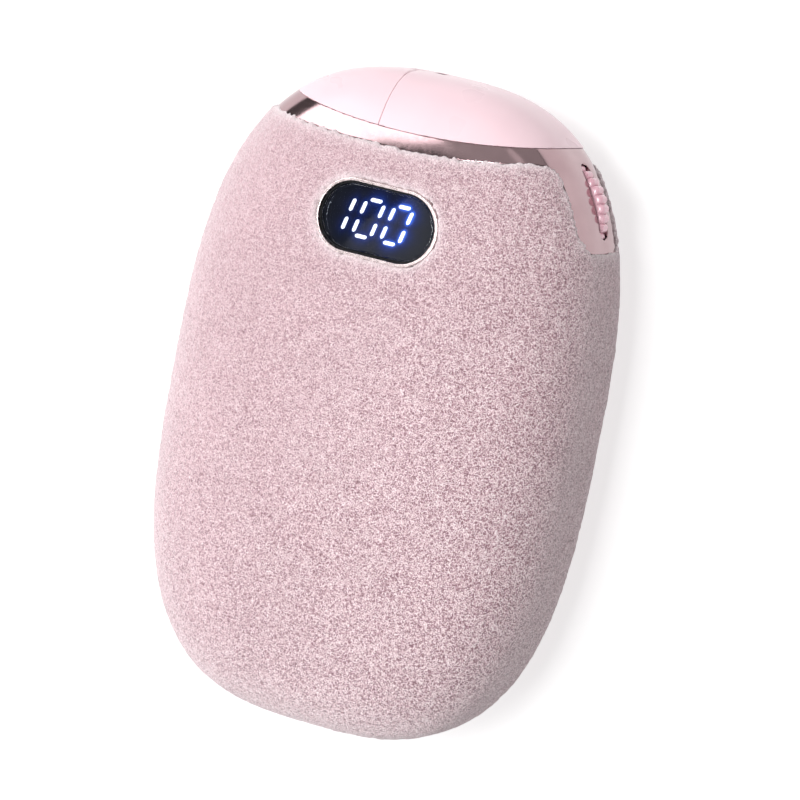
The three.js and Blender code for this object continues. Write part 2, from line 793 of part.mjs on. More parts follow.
// Heated plates follow the case wall
function plate(outInset, inInset, margin, side) {
  const shape = roundedRectangle(margin - plateHalfX, plateHalfX - margin, plateLowY + margin,
    plateHighY - margin, plateCorner - margin);
  const half = side > 0 ? raise(shape, 0, far) : raise(shape, -far, 0);
  return skin(outInset, inInset).intersect(half);
}

function sensor(side) {
  const high = heightAt(sensorX + sensorWidth / 2, sensorY - sensorLength / 2, heaterIn + gap);
  const [low, top] = side > 0 ? [high - sensorHeight, high] : [-high, sensorHeight - high];
  return box(sensorX - sensorWidth / 2, sensorX + sensorWidth / 2, sensorY - sensorLength / 2,
    sensorY + sensorLength / 2, low, top);
}

// Thumbwheel: rounded ribs all round, on a pin that the carriage holds
function thumbWheel() {
  const points = [];
  const count = wheelRibs * ribStepsPerRib;
  for (let step = 0; step < count; step += 1) {
    const turn = (2 * Math.PI * step) / count;
    const radius = wheelRadius - ribDepth * (1 - Math.abs(Math.cos((wheelRibs * turn) / 2)));
    points.push([radius * Math.cos(turn), radius * Math.sin(turn)]);
  }
  const wheel = raise(outlineOf(points), -wheelThick / 2, wheelThick / 2);
  const crown = wheelRadius - wheelEdge;
  const profile = [[0, -wheelThick / 2], [crown, -wheelThick / 2], [wheelRadius, wheelEdge - wheelThick / 2],
    [wheelRadius, wheelThick / 2 - wheelEdge], [crown, wheelThick / 2], [0, wheelThick / 2]];
  const lathe = new THREE.LatheGeometry(profile.map(([x, y]) => new THREE.Vector2(x, y)), sidesAround);
  lathe.rotateX(Math.PI / 2);
  const round = solid(lathe);
  return cut(wheel.intersect(round), pegAlongZ(0, 0, axleRadius + runGap, -far, far));
}

// Wheel parts below are drawn at the wheel's centre with X pointing out through the slot
function wheelAxle() {
  const low = carriageLowZ + gap / 2;
  const head = pegAlongZ(0, 0, axleRadius + axleHead, wheelThick / 2 + gap, wheelThick / 2 + gap + axleHead);
  return pegAlongZ(0, 0, axleRadius, low, wheelThick / 2 + gap + axleHead / 2).add(head);
}

function encoderBody() {
  const ring = pegAlongZ(0, 0, encoderRadius, encoderLowZ, encoderLowZ + encoderThick);
  return cut(ring, pegAlongZ(0, 0, axleRadius + runGap, -far, far));
}

function wheelCarriage() {
  const arm = box(-carriageBack, 0, -carriageHalf, carriageHalf, carriageLowZ, carriageHighZ);
  const nose = pegAlongZ(carriageFront - carriageHalf, 0, carriageHalf, carriageLowZ, carriageHighZ);
  const tab = box(-carriageBack, carriageTabThick - carriageBack, -carriageHalf, carriageHalf,
    carriageLowZ, carriageTabTop);
  return cut(join(arm, nose, tab), pegAlongZ(0, 0, axleRadius + runGap, -far, far));
}

function switchPlunger() {
  return pegAlongX(plungerRadius, switchFace - plungerIn, -carriageBack - gap, plungerZ);
}

function switchBody() {
  const lowZ = housingHighZ + gap;
  const block = box(switchFace - switchLength, switchFace, -switchHalf, switchHalf, lowZ, switchTop);
  const bottom = switchFace - plungerIn - pressTravel - gap;
  return cut(block, pegAlongX(plungerRadius + runGap, bottom, far, plungerZ));
}

function wheelHousing() {
  const base = box(-housingBack, housingFront, -housingHalf, housingHalf, housingLowZ, housingHighZ);
  const inner = carriageHalf + gap;
  const rails = [[-housingHalf, -inner], [inner, housingHalf]].map(([low, high]) =>
    box(-carriageBack, housingFront, low, high, housingLowZ, housingHighZ + railRise));
  let housing = join(base, ...rails);
  for (const place of standPlaces) {
    housing = cut(housing, pegAlongZ(-place, 0, stakeHoleRadius, -far, far));
  }
  return cut(housing, pegAlongZ(0, 0, axleRadius + gap, -far, far));
}

// Leads between the battery's board, the heaters and the main board
function lead(points) {
  const path = new THREE.CatmullRomCurve3(points.map(([x, y, z]) => new THREE.Vector3(x, y, z)));
  const section = new THREE.Shape();
  section.absarc(0, 0, leadRadius, 0, 2 * Math.PI);
  const steps = leadSteps;
  return solid(new THREE.ExtrudeGeometry(section, { extrudePath: path, steps, curveSegments: leadSides }));
}

// Materials
function material(color, roughness, metalness = 0) {
  return new THREE.MeshStandardMaterial({ color, roughness, metalness });
}

const velvet = material(0xdcb4bc, 0.95);
const pinkShell = material(0xe3b9c0, 0.5);
const pinkGloss = material(0xf4c9d3, 0.25);
const roseChrome = material(0xb79498, 0.12, 1);
const roseRim = material(0xd9b8b4, 0.3, 0.8);
const smokedGlass = material(0x0a0c14, 0.05);
const blackPlastic = material(0x18181b, 0.6);
const blackFoam = material(0x2a2a2d, 0.95);
const boardGreen = material(0x1d5a3c, 0.6);
const plainSteel = material(0xb9bbbe, 0.3, 1);
const plainAluminium = material(0xc9ccd0, 0.4, 1);
const filmAmber = material(0xc27a25, 0.4);
const greyFoam = material(0x8b8d92, 0.95);
const cellFoil = material(0x9aa3ad, 0.35, 0.4);
const whitePlastic = material(0xe7e6e2, 0.5);
const redLead = material(0xb3201c, 0.5);
const blackLead = material(0x1a1a1a, 0.5);

const assembly = new THREE.Group();
const body = new THREE.Group();
body.position.z = restZ;
assembly.add(body);

function place(name, shape, look) {
  const mesh = new THREE.Mesh(geometryOf(shape), look);
  mesh.name = name;
  body.add(mesh);
}

// Outside
place('velvet_cover', velvetCover(), velvet);
place('front_shell', frontShell(), pinkShell);
place('rear_shell', rearShell(), pinkShell);
place('trim_ring', trimRing(), roseChrome);
place('cap_main', capMain(), pinkGloss);
place('port_cover', portCover(), pinkGloss);
place('port_cover_pin', hingePin(), plainSteel);
place('cap_deck', deck(), pinkShell);
place('display_bezel', displayBezel(), roseRim);
place('display_window', displayWindow(), smokedGlass);

// Electronics
place('window_gasket', displayGasket(), blackFoam);
place('display_module', displayModule(), blackPlastic);
place('main_board', mainBoard(), boardGreen);
place('controller_chip', chip(controllerShares, controllerSize, false), blackPlastic);
place('charger_chip', chip(chargerShares, chargerSize, false), blackPlastic);
place('boost_coil', chip(coilShares, coilSize, false), blackFoam);
place('power_switch_chip', chip(powerShares, powerSize, true), blackPlastic);
place('usb_c_shell', portShell(), plainSteel);
place('usb_c_tongue', portTongue(), blackPlastic);

// Battery and heat
place('battery_tray', batteryTray(), blackPlastic);
place('battery_cell', batteryCell(), cellFoil);
place('battery_board', cellBoard(), boardGreen);
place('front_foam_pad', foamPad(cellHighZ + gap, padRoom), greyFoam);
place('rear_foam_pad', foamPad(-padRoom, cellLowZ - 2 * gap - trayWall), greyFoam);
for (const [name, side] of [['front', 1], ['rear', -1]]) {
  place(`${name}_heat_spreader`, plate(plateOut, plateIn, 0, side), plainAluminium);
  place(`${name}_heater_film`, plate(heaterOut, heaterIn, heaterMargin, side), filmAmber);
  place(`${name}_thermistor`, sensor(side), whitePlastic);
}

// Fasteners
caseScrews.forEach((spot, index) => place(`case_screw_${index + 1}`, caseScrew(spot), plainSteel));
postsAt.forEach((spot, index) => place(`board_screw_${index + 1}`, boardScrew(spot), plainSteel));
capBosses.forEach((spot, index) => place(`cap_screw_${index + 1}`, capScrew(spot), plainSteel));

// Thumbwheel group
place('thumb_wheel', atWheel(thumbWheel()), pinkGloss);
place('wheel_axle', atWheel(wheelAxle()), plainSteel);
place('wheel_encoder', atWheel(encoderBody()), blackPlastic);
place('wheel_carriage', atWheel(wheelCarriage()), whitePlastic);
place('wheel_housing', atWheel(wheelHousing()), blackPlastic);
place('press_switch', atWheel(switchBody()), blackPlastic);
place('switch_plunger', atWheel(switchPlunger()), whitePlastic);

// Leads
const leadLowY = cellHighY + 2 * gap + cellBoardThick;
const leadMidZ = boardLowZ - gap - leadRadius;
const leadLooks = [['battery_lead_plus', redLead, 1], ['battery_lead_minus', blackLead, -1]];
for (const [name, look, side] of leadLooks) {
  const x = leadX + (side * leadPitch) / 2;
  const lowZ = leadMidZ - leadDrop;
  place(name, lead([[x, leadLowY, lowZ], [x, leadLowY + leadStraight, lowZ],
    [x, boardLowY + leadReach, leadMidZ], [x, boardLowY + 2 * leadReach, leadMidZ]]), look);
}

export default assembly;
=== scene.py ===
"""Rechargeable hand warmer: looks. Shapes are fields in millimetres about the middle of the
body, meshed here at a fine step; Blender objects are in metres in the frame of the model."""
import itertools
import json
import math

import bpy
import numpy as np
from mathutils import Matrix, Vector


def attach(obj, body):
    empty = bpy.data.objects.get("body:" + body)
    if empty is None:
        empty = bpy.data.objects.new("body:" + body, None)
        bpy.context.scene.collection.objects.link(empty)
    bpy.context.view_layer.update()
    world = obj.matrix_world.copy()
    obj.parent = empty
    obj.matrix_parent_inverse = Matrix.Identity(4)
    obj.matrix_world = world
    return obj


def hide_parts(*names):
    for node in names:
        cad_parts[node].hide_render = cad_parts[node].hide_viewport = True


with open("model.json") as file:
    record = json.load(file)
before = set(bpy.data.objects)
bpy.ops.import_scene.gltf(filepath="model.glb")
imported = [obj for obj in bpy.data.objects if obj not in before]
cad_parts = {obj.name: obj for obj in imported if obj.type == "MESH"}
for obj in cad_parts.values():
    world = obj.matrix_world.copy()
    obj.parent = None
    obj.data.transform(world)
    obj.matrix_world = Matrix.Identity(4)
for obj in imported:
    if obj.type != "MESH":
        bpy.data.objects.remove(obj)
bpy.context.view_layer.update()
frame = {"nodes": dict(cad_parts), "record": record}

MM = 0.001
LIFT = 16.0

# Outer form
HALF_WIDTH = 34.6
HALF_THICKNESS = 16.5
WIDEST = 1.5
CAP_REACH = 51.0
FOOT_REACH = 54.0
CAP_POWER = 2.77
FOOT_POWER = 3.08
SECTION_POWER = 3.42
FLAT_Z = -16.0

FAR = 60.0

# Velvet sleeve
VELVET_THICK = 1.2
VELVET_COLLAR_EDGE, VELVET_DISPLAY_EDGE, VELVET_BACK_EDGE = 0.55, 0.5, 1.0
VELVET_DISPLAY_GAP = 0.1
FRINGE_REACH = 0.55

# Collar with its panel
RING_TOP = 43.6
RING_LOW = 40.7
RING_TOP_RISE = 2.22
RING_RISE_RIGHT = 2.54
RING_RISE_LEFT = 1.16
RISE_SPAN = 23.0
PANEL_FRONT, PANEL_REAR = 7.8, -6.4
PANEL_LOW = 30.8
PANEL_INNER_X = 10.0
PANEL_TOP = 90.0
PANEL_FRONT_CORNER, PANEL_REAR_CORNER = 4.4, 1.8
PANEL_FILLET = 2.6
PANEL_EDGE, SLOT_EDGE = 0.2, 0.3
RING_INSET, RING_DEPTH = 0.25, 3.1
SPIGOT_OUTER, SPIGOT_INNER = 3.4, 4.8
SPIGOT_LOW, SPIGOT_TOP = 38.6, 41.9
LEDGE_OUTER, LEDGE_INNER, LEDGE_LOW = 2.8, 3.7, 41.1
GAP = 0.3

# Cap and port cover
CAP_INSET = 0.15
CAP_WALL = 1.7
CAP_EDGE, SEAM_EDGE = 0.06, 0.1
SEAM_LEFT, SEAM_RIGHT = -4.42, -4.38
SEAM_WALL = 1.4
BOSSES = ((13.0, -3.5), (2.2, -3.5))
BOSS_RADIUS, BOSS_LOW = 2.0, 43.7
PILOT_RADIUS, PILOT_TOP = 0.8, 47.1
STRAP_BLOCK = ((-5.0, 47.65, -7.3), (0.35, FAR, 1.2))
STRAP_CHANNEL = ((-2.65, 48.95, -6.0), (-0.95, FAR, -0.1))
# Box inside which the cap is painted dark as shade in the strap channel.
STRAP_SHADE_BOX = ((-2.7, 48.9, -6.1), (-0.9, FAR, 0.1))
STRAP_BAR_LOW, STRAP_BAR_REAR, STRAP_BAR_FRONT = 50.85, -3.9, -2.2
STRAP_EDGE = 0.2
# Depth below the outer form over which that painted shade reaches full darkness.
SHADE_FADE_DEPTH = 0.15
HINGE = (-5.45, 51.339)
KNUCKLE, PIN_HOLE = 0.9, 0.5
SWEEP = 1.1
EAR_HALF, PIN_REACH = 1.1, 2.9
EAR_GAP, EAR_EDGE = 0.1, 0.1

# Display stack: depths are insets from the outer form
DISPLAY_X, DISPLAY_Y = -0.35, 29.2
BEZEL_HALF_LENGTH, BEZEL_RADIUS = 10.5, 6.0
BEZEL_PROUD, BEZEL_WALL, BEZEL_DEPTH = 0.15, 0.55, 4.2
BEZEL_EDGE, BEZEL_INNER_EDGE = 0.15, 0.12
FLANGE_TOP, FLANGE_WIDTH = 3.4, 1.5
SILL_TOP, SILL_INSET, SILL_OPENING = 2.15, 0.3, 1.6
LINER_TOP, LINER_LOW, LINER_INNER, LINER_EDGE = 0.35, 2.1, 0.9, 0.1
PANE_TOP, PANE_LOW, PANE_INSET, PANE_EDGE = 0.45, 1.7, 0.94, 0.22
FILM_TOP, FILM_LOW = 1.85, 2.05
LIT_TOP, LIT_LOW = 1.75, 1.9
DIGIT_SPOTS = (-7.35, -2.3, 2.6)
DIGIT_Y = 29.25
SLANT = math.tan(math.radians(12))
BAR_HALF_LENGTH, BAR_HALF_WIDTH, BAR_CORNER = 1.0, 0.29, 0.22
BAR_POINT, BAR_POINT_EDGE = 1.1, 0.1
DIAGONAL = 0.7071
SEGMENTS = {"top": (0, 2.95, 0), "bottom": (0, -2.95, 0), "ul": (-1.56, 1.5, 1), "ur": (1.56, 1.5, 1),
            "ll": (-1.56, -1.5, 1), "lr": (1.56, -1.5, 1)}
ZERO = ("top", "bottom", "ul", "ur", "ll", "lr")
ONE = ("ur", "lr")
# Painted glow: blue light spill painted on the film round the lit digits; its reach, its level at the middle,
# its rise towards +x and its least level.
HALO_REACH = 0.75
HALO_MIDDLE, HALO_SLOPE, HALO_LEAST = 0.62, 0.07, 0.2

# Thumbwheel
WHEEL = (21.668, 35.003)
WHEEL_Z = -1.2
OUTWARD = (0.87042, 0.49231)
WHEEL_RADIUS = 8.8
WHEEL_HALF = 1.3
WHEEL_RIBS, RIB_DEPTH = 34, 0.75
WHEEL_BORE = 1.3
WHEEL_EDGE, WHEEL_CROWN = 0.6, 1.6
SLOT_HALF_LENGTH, SLOT_RADIUS = 6.089, 1.55
POCKET_RADIUS, POCKET_EDGE = 8.95, 0.7


# Fields: below zero inside, above zero outside, growing by about one per millimetre
def both(a, b, edge=0.0):
    if not edge:
        return np.maximum(a, b)
    corner = np.hypot(np.maximum(a + edge, 0), np.maximum(b + edge, 0))
    return np.minimum(np.maximum(a, b), -edge) + corner


def either(a, b, edge=0.0):
    return -both(-a, -b, edge)


def less(a, b, edge=0.0):
    return both(a, -b, edge)


def envelope(x, y, z, inset):
    up = y >= WIDEST
    n = np.where(up, CAP_POWER, FOOT_POWER)
    b = np.where(up, CAP_REACH, FOOT_REACH) - inset
    a = HALF_WIDTH - inset
    c = HALF_THICKNESS - inset
    m = SECTION_POWER
    u = np.abs(x) / a
    v = np.abs(y - WIDEST) / b
    w = np.abs(z) / c
    u_slope = u ** (n - 1)
    v_slope = v ** (n - 1)
    w_slope = w ** (m - 1)
    s = u_slope * u + v_slope * v + 1e-9
    t = s ** (m / n - 1)
    f = t * s + w_slope * w
    r = f ** (1 / m)
    k = r / f
    slope = k * np.sqrt((t * u_slope / a) ** 2 + (t * v_slope / b) ** 2 + (w_slope / c) ** 2)
    return (r - 1) / (slope + 1e-6)


def skin(x, y, z, outer, inner):
    return less(envelope(x, y, z, outer), envelope(x, y, z, inner))


def above(x, y, height, rise, shift):
    slope = 2 * rise * x / RISE_SPAN ** 2
    return (height + rise * (x / RISE_SPAN) ** 2 + shift - y) / np.sqrt(1 + slope ** 2)


def above_top(x, y, shift=0.0):
    return above(x, y, RING_TOP, RING_TOP_RISE, shift)


def above_low(x, y, shift=0.0):
    return above(x, y, RING_LOW, np.where(x > 0, RING_RISE_RIGHT, RING_RISE_LEFT), shift)


def rounded_box(u, v, low, high, corner):
    q = [np.abs(p - (l + h) / 2) - (h - l) / 2 + corner for p, l, h in zip((u, v), low, high)]
    return np.minimum(np.maximum(*q), 0) + np.hypot(np.maximum(q[0], 0), np.maximum(q[1], 0)) - corner


def block(x, y, z, low, high):
    sides = [np.maximum(l - p, p - h) for p, l, h in zip((x, y, z), low, high)]
    return np.maximum.reduce(sides)


def collar(x, y, z, grow=0.0):
    low = (PANEL_LOW - grow, PANEL_REAR - grow)
    high = (PANEL_TOP, PANEL_FRONT + grow)
    front = rounded_box(y, z, low, high, PANEL_FRONT_CORNER + grow)
    rear = rounded_box(y, z, low, high, PANEL_REAR_CORNER + grow)
    panel = both(np.where(z > 0, front, rear), PANEL_INNER_X - x)
    return either(above_low(x, y, -grow), panel, PANEL_FILLET)


def stadium(x, y, half, radius, grow=0.0):
    return np.hypot(np.maximum(np.abs(x) - half + radius, 0), y) - radius - grow


def display(x, y, z, grow=0.0):
    return both(stadium(x - DISPLAY_X, y - DISPLAY_Y, BEZEL_HALF_LENGTH, BEZEL_RADIUS, grow), -z)


def at_wheel(x, y):
    dx, dy = x - WHEEL[0], y - WHEEL[1]
    return dx * OUTWARD[0] + dy * OUTWARD[1], dy * OUTWARD[0] - dx * OUTWARD[1]


def pocket(x, y, z):
    reach = np.hypot(x - WHEEL[0], y - WHEEL[1]) - POCKET_RADIUS
    return both(reach, np.abs(z - WHEEL_Z) - SLOT_RADIUS, POCKET_EDGE)


def hinge_peg(x, y, z, radius, low, high):
    return np.maximum(np.hypot(x - HINGE[0], y - HINGE[1]) - radius, np.maximum(low - z, z - high))


# Meshing
def gradient(field, points, span=0.03):
    value = field(*points.T)
    slope = np.empty_like(points)
    for axis in range(3):
        step = np.zeros(3)
        step[axis] = span
        slope[:, axis] = (field(*(points + step).T) - field(*(points - step).T)) / (2 * span)
    return value, slope


def nets(field, low, high, step):
    counts = [int(math.ceil((h - l) / step)) + 1 for l, h in zip(low, high)]
    axes = [l + step * np.arange(n) for l, n in zip(low, counts)]
    values = np.empty(counts, np.float32)
    slab = max(1, int(1.5e6 // (counts[1] * counts[2])))
    for start in range(0, counts[0], slab):
        grid = np.meshgrid(axes[0][start:start + slab], axes[1], axes[2], indexing="ij")
        values[start:start + slab] = field(*grid)
    inside = values < 0
    total = np.zeros([n - 1 for n in counts], np.int8)
    for corner in itertools.product((0, 1), repeat=3):
        total += inside[tuple(slice(c, n - 1 + c) for c, n in zip(corner, counts))]
    cells = np.argwhere((total > 0) & (total < 8))
    index = np.full(total.shape, -1, np.int32)
    index[tuple(cells.T)] = np.arange(len(cells))
    sums = np.zeros((len(cells), 3))
    hits = np.zeros(len(cells))
    unit = np.eye(3, dtype=int)
    for axis in range(3):
        others = [a for a in range(3) if a != axis]
        for pair in itertools.product((0, 1), repeat=2):
            offset = pair[0] * unit[others[0]] + pair[1] * unit[others[1]]
            first = values[tuple((cells + offset).T)].astype(float)
            second = values[tuple((cells + offset + unit[axis]).T)].astype(float)
            cross = (first < 0) != (second < 0)
            share = first[cross] / (first[cross] - second[cross])
            sums[cross] += (cells + offset)[cross] + share[:, None] * unit[axis]
            hits[cross] += 1
    points = np.array(low) + step * sums / hits[:, None]
    quads = []
    for axis in range(3):
        one, two = (axis + 1) % 3, (axis + 2) % 3
        head = inside[tuple(slice(0, -1) if a == axis else slice(None) for a in range(3))]
        tail = inside[tuple(slice(1, None) if a == axis else slice(None) for a in range(3))]
        edges = np.argwhere(head != tail)
        edges = edges[(edges[:, one] > 0) & (edges[:, two] > 0)
                      & (edges[:, one] < counts[one] - 1) & (edges[:, two] < counts[two] - 1)]
        outward = head[tuple(edges.T)]
        ring = [edges, edges - unit[one], edges - unit[one] - unit[two], edges - unit[two]]
        faces = np.stack([index[tuple(r.T)] for r in ring], axis=1)
        quads.append(np.where(outward[:, None], faces, faces[:, ::-1]))
    faces = np.concatenate(quads)
    for _ in range(4):
        seat(field, points, step)
    ends = np.concatenate([faces, faces[:, ::-1]]).ravel()
    starts = np.concatenate([np.roll(faces, 1, axis=1), np.roll(faces[:, ::-1], 1, axis=1)]).ravel()
    for _ in range(3):
        slope = seat(field, points, step)
        slope /= np.maximum(np.linalg.norm(slope, axis=1), 1e-6)[:, None]
        bent = (slope[starts] * slope[ends]).sum(1) < 0.985
        sharp = np.bincount(starts, bent, len(points)) > 0
        count = np.maximum(np.bincount(starts, minlength=len(points)), 1)
        mean = np.stack([np.bincount(starts, points[ends, a], len(points)) / count for a in range(3)], axis=1)
        points += np.where(sharp[:, None], 0.0, 0.6 * (mean - points))
    for _ in range(2):
        seat(field, points, step)
    return points, faces


def seat(field, points, step):
    value, slope = gradient(field, points)
    move = value / np.maximum((slope ** 2).sum(1), 0.05)
    points -= np.clip(move, -step, step)[:, None] * slope
    return slope


def mesh_object(name, points, faces, normals=None):
    mesh = bpy.data.meshes.new(name)
    mesh.from_pydata((points + [0, 0, LIFT]) * MM, [], faces.tolist())
    mesh.update()
    mesh.shade_smooth()
    if normals is not None:
        mesh.normals_split_custom_set_from_vertices(normals)
    obj = bpy.data.objects.new(name, mesh)
    obj.cycles.shadow_terminator_geometry_offset = 0.5
    bpy.context.scene.collection.objects.link(obj)
    return obj


def formed(name, field, low, high, step):
    points, faces = nets(field, low, high, step)
    _, slope = gradient(field, points, 0.05)
    slope /= np.maximum(np.linalg.norm(slope, axis=1), 1e-6)[:, None]
    return mesh_object(name, points, faces, slope)


def finish_piece(obj, body, slot, material, *nodes):
    obj.data.materials.append(material)
    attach(obj, body)
    if nodes:
        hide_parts(*nodes)
    return obj


# Lattice noise for the pile: smooth, seeded, the same on every run
def lattice_noise(points, size, seed):
    table = np.random.default_rng(seed).uniform(-1, 1, (64, 64, 64))
    spot = points / size
    base = np.floor(spot).astype(int)
    part = spot - base
    part = part * part * (3 - 2 * part)
    total = np.zeros(len(points))
    for corner in itertools.product((0, 1), repeat=3):
        weight = np.prod([part[:, a] if c else 1 - part[:, a] for a, c in enumerate(corner)], axis=0)
        where = (base + corner) % 64
        total += weight * table[tuple(where.T)]
    return total


# Materials
class Nodes:
    def __init__(self, name):
        self.material = bpy.data.materials.new(name)
        self.material.use_nodes = True
        self.tree = self.material.node_tree
        self.shader = self.tree.nodes["Principled BSDF"]
        self.coords = self.tree.nodes.new("ShaderNodeTexCoord").outputs["Object"]

    def add(self, kind, inputs=(), **settings):
        node = self.tree.nodes.new(kind)
        for key, value in settings.items():
            setattr(node, key, value)
        for key, value in dict(inputs).items():
            self.join(value, node.inputs[key])
        return node

    def join(self, value, socket):
        if isinstance(value, bpy.types.NodeSocket):
            self.tree.links.new(value, socket)
        else:
            socket.default_value = value

    def noise(self, size_mm, detail=2.0, rough=0.5, coords=None):
        node = self.add("ShaderNodeTexNoise", {"Vector": coords or self.coords, "Scale": 1000 / size_mm,
                                               "Detail": detail, "Roughness": rough})
        return node.outputs["Fac"]

    def ramp(self, value, *stops):
        node = self.add("ShaderNodeValToRGB", {"Fac": value})
        ramp = node.color_ramp
        for _ in range(len(stops) - 2):
            ramp.elements.new(0.5)
        for element, (spot, colour) in zip(ramp.elements, stops):
            element.position = spot
            element.color = (*colour, 1) if len(colour) == 3 else colour
        return node.outputs["Color"]

    def math(self, operation, first, second=0.0, clamp=False):
        node = self.tree.nodes.new("ShaderNodeMath")
        node.operation = operation
        node.use_clamp = clamp
        self.join(first, node.inputs[0])
        self.join(second, node.inputs[1])
        return node.outputs[0]

    def mix(self, share, first, second, blend="MIX"):
        node = self.tree.nodes.new("ShaderNodeMix")
        node.data_type = "RGBA"
        node.blend_type = blend
        self.join(share, node.inputs[0])
        self.join(first, node.inputs[6])
        self.join(second, node.inputs[7])
        return node.outputs[2]

    def coords_part(self, axis):
        return self.add("ShaderNodeSeparateXYZ", {0: self.coords}).outputs[axis]

    def bump(self, height, strength, depth_mm, normal=None):
        inputs = {"Height": height, "Strength": strength, "Distance": depth_mm * MM}
        if normal is not None:
            inputs["Normal"] = normal
        return self.add("ShaderNodeBump", inputs).outputs["Normal"]

    def set(self, **values):
        names = {"color": "Base Color", "metallic": "Metallic", "roughness": "Roughness",
                 "normal": "Normal", "sheen": "Sheen Weight", "sheen_rough": "Sheen Roughness",
                 "sheen_tint": "Sheen Tint", "coat": "Coat Weight", "coat_rough": "Coat Roughness",
                 "specular": "Specular IOR Level", "ior": "IOR", "transmission": "Transmission Weight",
                 "emission": "Emission Color", "glow": "Emission Strength"}
        for key, value in values.items():
            self.join(value, self.shader.inputs[names[key]])
        return self.material


def velvet_material():
    m = Nodes("velvet_pile")
    grain = m.noise(0.19, 1.0, 0.6)
    strand = m.math("ABSOLUTE", m.math("SUBTRACT", m.noise(0.5, 1.0, 0.5), 0.5))
    strand = m.math("SUBTRACT", 0.5, m.math("MULTIPLY", strand, 3.2), clamp=True)
    tuft = m.noise(0.7, 2.0, 0.5)
    patch = m.noise(14.0, 2.0, 0.5)
    shade = m.math("ADD", m.math("MULTIPLY", grain, 0.66), m.math("MULTIPLY", tuft, 0.16))
    shade = m.math("ADD", shade, m.math("MULTIPLY", strand, 0.36))
    # The grain's contrast grows towards +x and towards -y.
    across = m.math("MULTIPLY", m.coords_part(0), 13.0)
    along = m.math("MULTIPLY", m.coords_part(1), -6.0)
    grain_contrast_slope = m.math("ADD", 1.0, m.math("ADD", across, along))
    shade = m.math("ADD", 0.5, m.math("MULTIPLY", m.math("SUBTRACT", shade, 0.5), grain_contrast_slope))
    base = m.ramp(shade, (0.31, (0.28, 0.15, 0.175)), (0.50, (0.645, 0.43, 0.475)), (0.69, (1.0, 0.87, 0.89)))
    tone = m.ramp(patch, (0.35, (0.95, 0.95, 0.95)), (0.65, (1.0, 1.0, 1.0)))
    color = m.mix(1.0, base, tone, "MULTIPLY")
    # Painted sheen: near the collar and display edges the pile is painted paler, offsetting the shade where
    # the edge curls away.
    fringe_and_painted_sheen = m.add("ShaderNodeAttribute", attribute_name="fringe_and_painted_sheen").outputs["Fac"]
    color = m.mix(m.math("MULTIPLY", fringe_and_painted_sheen, 0.7), color, (1.0, 0.90, 0.92, 1))
    normal = m.bump(tuft, 0.5, 0.25)
    normal = m.bump(grain, 1.0, 0.3, normal)
    return m.set(color=color, roughness=0.95, normal=normal, sheen=1.0, sheen_rough=0.4,
                 sheen_tint=(1.0, 0.95, 0.96, 1), specular=0.1)


def gloss_pink_material():
    m = Nodes("pink_gloss_plastic")
    cloud = m.noise(6.0, 2.0)
    color = m.ramp(cloud, (0.3, (0.86, 0.635, 0.685)), (0.7, (0.88, 0.655, 0.705)))
    # Painted shade: inside the strap channel the cap is mixed to near-black, as shadow in the hollow.
    channel_painted_shade = m.add("ShaderNodeAttribute", attribute_name="channel_painted_shade").outputs["Fac"]
    color = m.mix(channel_painted_shade, color, (0.10, 0.05, 0.06, 1))
    rough = m.ramp(m.noise(5.0, 1.0), (0.3, (0.27, 0.27, 0.27)), (0.7, (0.3, 0.3, 0.3)))
    return m.set(color=color, roughness=rough, specular=0.2, coat=0.1, coat_rough=0.15)


def wheel_material():
    m = Nodes("pink_wheel_plastic")
    color = m.ramp(m.noise(3.0, 2.0), (0.3, (0.80, 0.45, 0.53)), (0.7, (0.85, 0.51, 0.59)))
    rough = m.ramp(m.noise(1.0, 3.0), (0.3, (0.2, 0.2, 0.2)), (0.7, (0.26, 0.26, 0.26)))
    return m.set(color=color, roughness=rough, normal=m.bump(m.noise(0.5, 2.0), 0.05, 0.05), coat=0.3,
                 coat_rough=0.1)


def rose_chrome_material(name="rose_chrome_plate", rough=(0.10, 0.15), dark=(0.40, 0.275, 0.29),
                         light=(0.45, 0.315, 0.33)):
    m = Nodes(name)
    color = m.ramp(m.noise(5.0, 2.0), (0.3, dark), (0.7, light))
    low, high = rough
    roughness = m.ramp(m.noise(0.8, 3.0), (0.35, (low,) * 3), (0.65, (high,) * 3))
    return m.set(color=color, metallic=1.0, roughness=roughness,
                 normal=m.bump(m.noise(0.7, 2.0), 0.02, 0.05))


def glass_material():
    m = Nodes("smoked_window")
    color = m.ramp(m.noise(3.0, 1.0), (0.3, (0.44, 0.46, 0.52)), (0.7, (0.47, 0.49, 0.55)))
    rough = m.ramp(m.noise(1.0, 2.0), (0.3, (0.02, 0.02, 0.02)), (0.7, (0.04, 0.04, 0.04)))
    return m.set(color=color, roughness=rough, transmission=1.0, ior=1.45)


def liner_material():
    m = Nodes("black_liner")
    color = m.ramp(m.noise(0.8, 2.0), (0.3, (0.004, 0.004, 0.005)), (0.7, (0.008, 0.008, 0.01)))
    return m.set(color=color, roughness=0.6, specular=0.2)


def film_material():
    m = Nodes("printed_film_painted_glow")
    color = m.ramp(m.noise(1.5, 2.0), (0.3, (0.004, 0.005, 0.008)), (0.7, (0.008, 0.009, 0.013)))
    # Painted glow: blue emission on the film round the lit digits stands in for their light spill and glare.
    painted_digit_glow = m.add("ShaderNodeAttribute", attribute_name="painted_digit_glow").outputs["Fac"]
    glow = m.ramp(painted_digit_glow, (0.0, (0.002, 0.003, 0.006)), (0.45, (0.004, 0.018, 0.13)), (1.0, (0.03, 0.17, 0.9)))
    return m.set(color=color, roughness=0.5, specular=0.1, emission=glow, glow=3.0)


